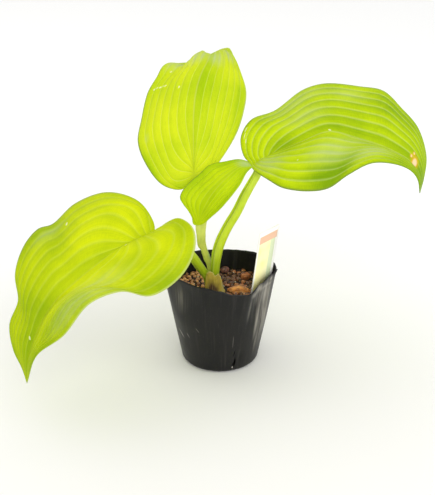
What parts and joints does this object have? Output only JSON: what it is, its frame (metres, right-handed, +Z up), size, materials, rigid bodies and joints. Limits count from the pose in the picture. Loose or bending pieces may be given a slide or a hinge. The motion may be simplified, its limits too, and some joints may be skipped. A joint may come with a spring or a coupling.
{
  "type": "potted hosta plant",
  "caption": "Young hosta with broad ribbed chartreuse leaves on grooved stalks, in a soft black nursery pot of bark mix with a blank plant label.",
  "frame": {"origin": "middle of the flat base of the pot, on the surface it stands on", "axes": "+Z up, -Y towards the viewer, +X to the viewer's right; the label stands at the right front, one leaf leans back, one to the right and one to the left front"},
  "size_m": [0.3056, 0.2333, 0.2338],
  "materials": {
    "pot_film": "thin black film, slightly glossy",
    "potting_mix": "loose bark and peat",
    "crown_tissue": "rough stem",
    "dry_scale": "dry papery scale",
    "leaf_tissue": "satin ribbed leaf, thin and translucent",
    "young_leaf_tissue": "satin ribbed young leaf",
    "label_card": "printed stiff plastic card",
    "bark": "rough bark"
  },
  "bodies": {
    "root": {"pot": "pot_film", "soil": "potting_mix", "crown": "crown_tissue", "bud_scale": "dry_scale", "leaf_left": "leaf_tissue", "leaf_right": "leaf_tissue", "leaf_back": "leaf_tissue", "leaf_young": "young_leaf_tissue", "plant_label": "label_card", "bark_chip_front": "bark", "bark_chip_round": "bark", "bark_chip_small": "bark"}
  },
  "joints": []
}
